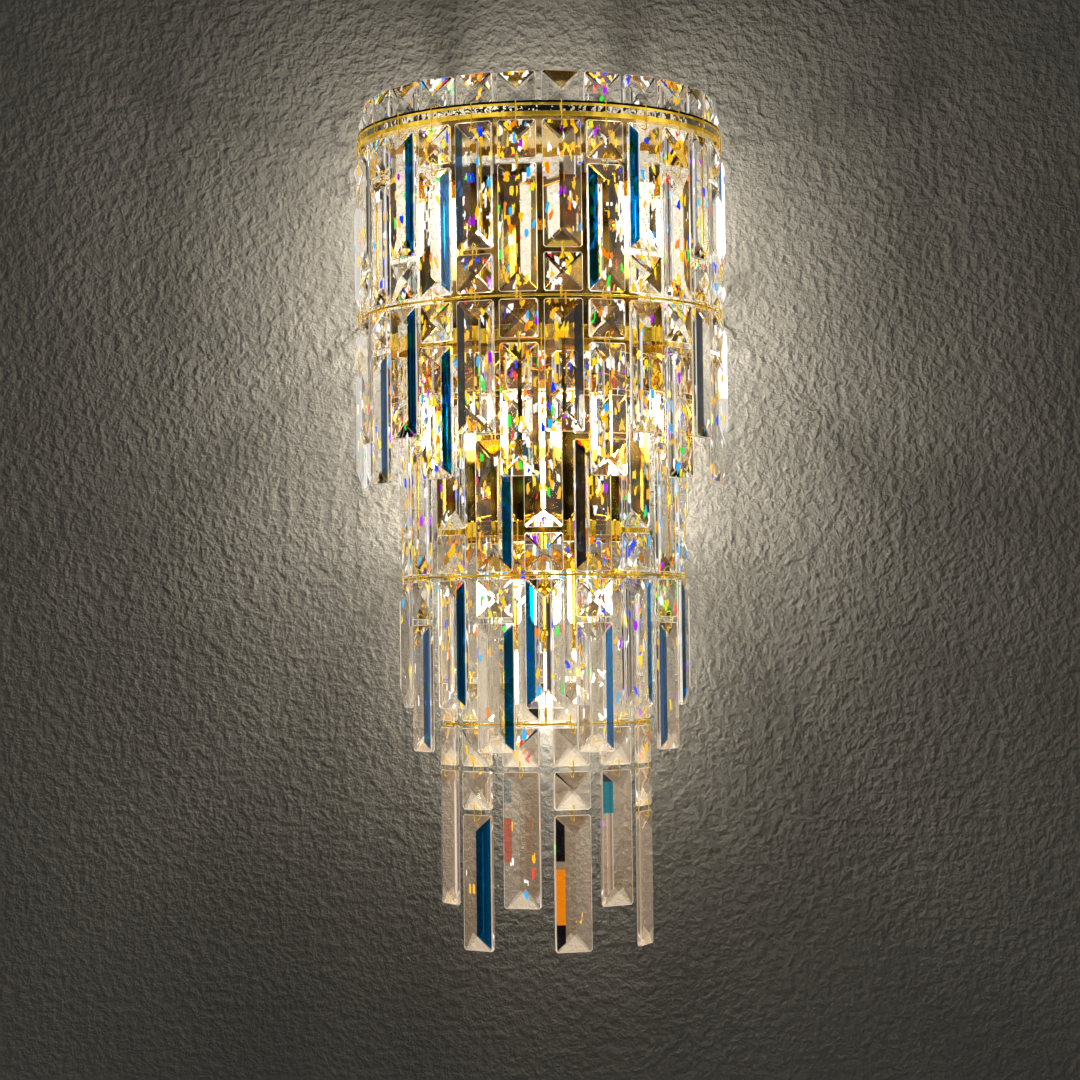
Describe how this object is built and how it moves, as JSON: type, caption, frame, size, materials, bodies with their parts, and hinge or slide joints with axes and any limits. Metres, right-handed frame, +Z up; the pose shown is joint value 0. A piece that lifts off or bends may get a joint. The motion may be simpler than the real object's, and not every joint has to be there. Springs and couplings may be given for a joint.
{
  "type": "crystal wall sconce",
  "caption": "Half-round wall sconce with tiers of clear cut crystals hung on polished gold trays and rings, with lamps inside.",
  "frame": {"origin": "centre of the four wall screws, on the wall's face", "axes": "+X to the right as seen from the room, +Y into the wall, +Z up"},
  "size_m": [0.3068, 0.1644, 0.6893],
  "materials": {
    "crystal": "clear cut lead-free crystal, polished facets",
    "gold_wire": "thin bright gold-plated wire",
    "polished_gold": "polished gold plating",
    "mirror_gold": "mirror-polished gold plating",
    "zinc_steel": "zinc-plated sheet",
    "grommet_rubber": "moulded",
    "block_plastic": "moulded, cream",
    "sleeve": "heat-proof sleeve",
    "holder_ceramic": "matt white porcelain",
    "bulb_base": "pressed white ceramic",
    "bulb_glass": "clear glass capsule",
    "lamp_glow": "lit warm-white emitter"
  },
  "bodies": {
    "frame": {"back_plate": "mirror_gold", "bottom_tier_hooks": "gold_wire", "bottom_tier_ring": "polished_gold", "bottom_tier_tray": "polished_gold", "bottom_tier_upper_crystals": "crystal", "bottom_tier_upper_links": "gold_wire", "bracket_studs": "zinc_steel", "bulb_bases": "bulb_base", "bulb_emitters": "lamp_glow", "bulb_glasses": "bulb_glass", "cable_grommet": "grommet_rubber", "cap_nuts": "polished_gold", "crown_crystals": "crystal", "crown_hooks": "gold_wire", "lamp_arms": "polished_gold", "lamp_cups": "polished_gold", "lamp_leads": "sleeve", "lampholders": "holder_ceramic", "middle_tier_hooks": "gold_wire", "middle_tier_ring": "polished_gold", "middle_tier_tray": "polished_gold", "middle_tier_upper_crystals": "crystal", "middle_tier_upper_links": "gold_wire", "terminal_block": "block_plastic", "top_tier_ring": "polished_gold", "top_tier_tray": "polished_gold", "top_tier_upper_crystals": "crystal", "top_tier_upper_links": "gold_wire", "tray_screws": "polished_gold", "wall_bracket": "zinc_steel", "wiring_harness": "sleeve"},
    "top_tier_strand_01": {"top_tier_strand_01": "crystal"},
    "top_tier_strand_02": {"top_tier_strand_02": "crystal"},
    "top_tier_strand_03": {"top_tier_strand_03": "crystal"},
    "top_tier_strand_04": {"top_tier_strand_04": "crystal"},
    "top_tier_strand_05": {"top_tier_strand_05": "crystal"},
    "top_tier_strand_06": {"top_tier_strand_06": "crystal"},
    "top_tier_strand_07": {"top_tier_strand_07": "crystal"},
    "top_tier_strand_08": {"top_tier_strand_08": "crystal"},
    "top_tier_strand_09": {"top_tier_strand_09": "crystal"},
    "top_tier_strand_10": {"top_tier_strand_10": "crystal"},
    "top_tier_strand_11": {"top_tier_strand_11": "crystal"},
    "top_tier_strand_12": {"top_tier_strand_12": "crystal"},
    "top_tier_strand_13": {"top_tier_strand_13": "crystal"},
    "top_tier_strand_14": {"top_tier_strand_14": "crystal"},
    "middle_tier_strand_01": {"middle_tier_strand_01": "crystal"},
    "middle_tier_strand_02": {"middle_tier_strand_02": "crystal"},
    "middle_tier_strand_03": {"middle_tier_strand_03": "crystal"},
    "middle_tier_strand_04": {"middle_tier_strand_04": "crystal"},
    "middle_tier_strand_05": {"middle_tier_strand_05": "crystal"},
    "middle_tier_strand_06": {"middle_tier_strand_06": "crystal"},
    "middle_tier_strand_07": {"middle_tier_strand_07": "crystal"},
    "middle_tier_strand_08": {"middle_tier_strand_08": "crystal"},
    "middle_tier_strand_09": {"middle_tier_strand_09": "crystal"},
    "bottom_tier_strand_01": {"bottom_tier_strand_01": "crystal"},
    "bottom_tier_strand_02": {"bottom_tier_strand_02": "crystal"},
    "bottom_tier_strand_03": {"bottom_tier_strand_03": "crystal"},
    "bottom_tier_strand_04": {"bottom_tier_strand_04": "crystal"},
    "bottom_tier_strand_05": {"bottom_tier_strand_05": "crystal"},
    "bottom_tier_strand_06": {"bottom_tier_strand_06": "crystal"}
  },
  "joints": [
    {"name": "top_tier_strand_01_swing", "type": "hinge", "parent": "frame", "child": "top_tier_strand_01", "pos_m": [-0.14644, -0.01609, 0.0348], "axis": [-0.0279, 0.9996, 0], "range_deg": [-3, 12]},
    {"name": "top_tier_strand_02_swing", "type": "hinge", "parent": "frame", "child": "top_tier_strand_02", "pos_m": [-0.14137, -0.05041, 0.0348], "axis": [-0.2622, 0.965, 0], "range_deg": [-3, 12]},
    {"name": "top_tier_strand_03_swing", "type": "hinge", "parent": "frame", "child": "top_tier_strand_03", "pos_m": [-0.12838, -0.08258, 0.0348], "axis": [-0.4818, 0.8763, 0], "range_deg": [-3, 12]},
    {"name": "top_tier_strand_04_swing", "type": "hinge", "parent": "frame", "child": "top_tier_strand_04", "pos_m": [-0.10818, -0.11079, 0.0348], "axis": [-0.6743, 0.7385, 0], "range_deg": [-3, 12]},
    {"name": "top_tier_strand_05_swing", "type": "hinge", "parent": "frame", "child": "top_tier_strand_05", "pos_m": [-0.08192, -0.13345, 0.0348], "axis": [-0.829, 0.5592, 0], "range_deg": [-3, 12]},
    {"name": "top_tier_strand_06_swing", "type": "hinge", "parent": "frame", "child": "top_tier_strand_06", "pos_m": [-0.05107, -0.14931, 0.0348], "axis": [-0.9373, 0.3486, 0], "range_deg": [-3, 12]},
    {"name": "top_tier_strand_07_swing", "type": "hinge", "parent": "frame", "child": "top_tier_strand_07", "pos_m": [-0.01735, -0.15747, 0.0348], "axis": [-0.993, 0.1184, 0], "range_deg": [-3, 12]},
    {"name": "top_tier_strand_08_swing", "type": "hinge", "parent": "frame", "child": "top_tier_strand_08", "pos_m": [0.01735, -0.15747, 0.0348], "axis": [-0.993, -0.1184, 0], "range_deg": [-3, 12]},
    {"name": "top_tier_strand_09_swing", "type": "hinge", "parent": "frame", "child": "top_tier_strand_09", "pos_m": [0.05107, -0.14931, 0.0348], "axis": [-0.9373, -0.3486, 0], "range_deg": [-3, 12]},
    {"name": "top_tier_strand_10_swing", "type": "hinge", "parent": "frame", "child": "top_tier_strand_10", "pos_m": [0.08192, -0.13345, 0.0348], "axis": [-0.829, -0.5592, 0], "range_deg": [-3, 12]},
    {"name": "top_tier_strand_11_swing", "type": "hinge", "parent": "frame", "child": "top_tier_strand_11", "pos_m": [0.10818, -0.11079, 0.0348], "axis": [-0.6743, -0.7385, 0], "range_deg": [-3, 12]},
    {"name": "top_tier_strand_12_swing", "type": "hinge", "parent": "frame", "child": "top_tier_strand_12", "pos_m": [0.12838, -0.08258, 0.0348], "axis": [-0.4818, -0.8763, 0], "range_deg": [-3, 12]},
    {"name": "top_tier_strand_13_swing", "type": "hinge", "parent": "frame", "child": "top_tier_strand_13", "pos_m": [0.14137, -0.05041, 0.0348], "axis": [-0.2622, -0.965, 0], "range_deg": [-3, 12]},
    {"name": "top_tier_strand_14_swing", "type": "hinge", "parent": "frame", "child": "top_tier_strand_14", "pos_m": [0.14644, -0.01609, 0.0348], "axis": [-0.0279, -0.9996, 0], "range_deg": [-3, 12]},
    {"name": "middle_tier_strand_01_swing", "type": "hinge", "parent": "frame", "child": "middle_tier_strand_01", "pos_m": [-0.11128, -0.03162, -0.181], "axis": [-0.1736, 0.9848, 0], "range_deg": [-4, 12]},
    {"name": "middle_tier_strand_02_swing", "type": "hinge", "parent": "frame", "child": "middle_tier_strand_02", "pos_m": [-0.09786, -0.0685, -0.181], "axis": [-0.5, 0.866, 0], "range_deg": [-4, 12]},
    {"name": "middle_tier_strand_03_swing", "type": "hinge", "parent": "frame", "child": "middle_tier_strand_03", "pos_m": [-0.07264, -0.09856, -0.181], "axis": [-0.766, 0.6428, 0], "range_deg": [-4, 12]},
    {"name": "middle_tier_strand_04_swing", "type": "hinge", "parent": "frame", "child": "middle_tier_strand_04", "pos_m": [-0.03865, -0.11819, -0.181], "axis": [-0.9397, 0.342, 0], "range_deg": [-4, 12]},
    {"name": "middle_tier_strand_05_swing", "type": "hinge", "parent": "frame", "child": "middle_tier_strand_05", "pos_m": [0, -0.125, -0.181], "axis": [-1, 0, 0], "range_deg": [-4, 12]},
    {"name": "middle_tier_strand_06_swing", "type": "hinge", "parent": "frame", "child": "middle_tier_strand_06", "pos_m": [0.03865, -0.11819, -0.181], "axis": [-0.9397, -0.342, 0], "range_deg": [-4, 12]},
    {"name": "middle_tier_strand_07_swing", "type": "hinge", "parent": "frame", "child": "middle_tier_strand_07", "pos_m": [0.07264, -0.09856, -0.181], "axis": [-0.766, -0.6428, 0], "range_deg": [-4, 12]},
    {"name": "middle_tier_strand_08_swing", "type": "hinge", "parent": "frame", "child": "middle_tier_strand_08", "pos_m": [0.09786, -0.0685, -0.181], "axis": [-0.5, -0.866, 0], "range_deg": [-4, 12]},
    {"name": "middle_tier_strand_09_swing", "type": "hinge", "parent": "frame", "child": "middle_tier_strand_09", "pos_m": [0.11128, -0.03162, -0.181], "axis": [-0.1736, -0.9848, 0], "range_deg": [-4, 12]},
    {"name": "bottom_tier_strand_01_swing", "type": "hinge", "parent": "frame", "child": "bottom_tier_strand_01", "pos_m": [-0.07835, -0.04365, -0.2986], "axis": [-0.3746, 0.9272, 0], "range_deg": [-5, 12]},
    {"name": "bottom_tier_strand_02_swing", "type": "hinge", "parent": "frame", "child": "bottom_tier_strand_02", "pos_m": [-0.05521, -0.07597, -0.2986], "axis": [-0.757, 0.6534, 0], "range_deg": [-5, 12]},
    {"name": "bottom_tier_strand_03_swing", "type": "hinge", "parent": "frame", "child": "bottom_tier_strand_03", "pos_m": [-0.01987, -0.09413, -0.2986], "axis": [-0.972, 0.2351, 0], "range_deg": [-5, 12]},
    {"name": "bottom_tier_strand_04_swing", "type": "hinge", "parent": "frame", "child": "bottom_tier_strand_04", "pos_m": [0.01987, -0.09413, -0.2986], "axis": [-0.972, -0.2351, 0], "range_deg": [-5, 12]},
    {"name": "bottom_tier_strand_05_swing", "type": "hinge", "parent": "frame", "child": "bottom_tier_strand_05", "pos_m": [0.05521, -0.07597, -0.2986], "axis": [-0.757, -0.6534, 0], "range_deg": [-5, 12]},
    {"name": "bottom_tier_strand_06_swing", "type": "hinge", "parent": "frame", "child": "bottom_tier_strand_06", "pos_m": [0.07835, -0.04365, -0.2986], "axis": [-0.3746, -0.9272, 0], "range_deg": [-5, 12]}
  ]
}
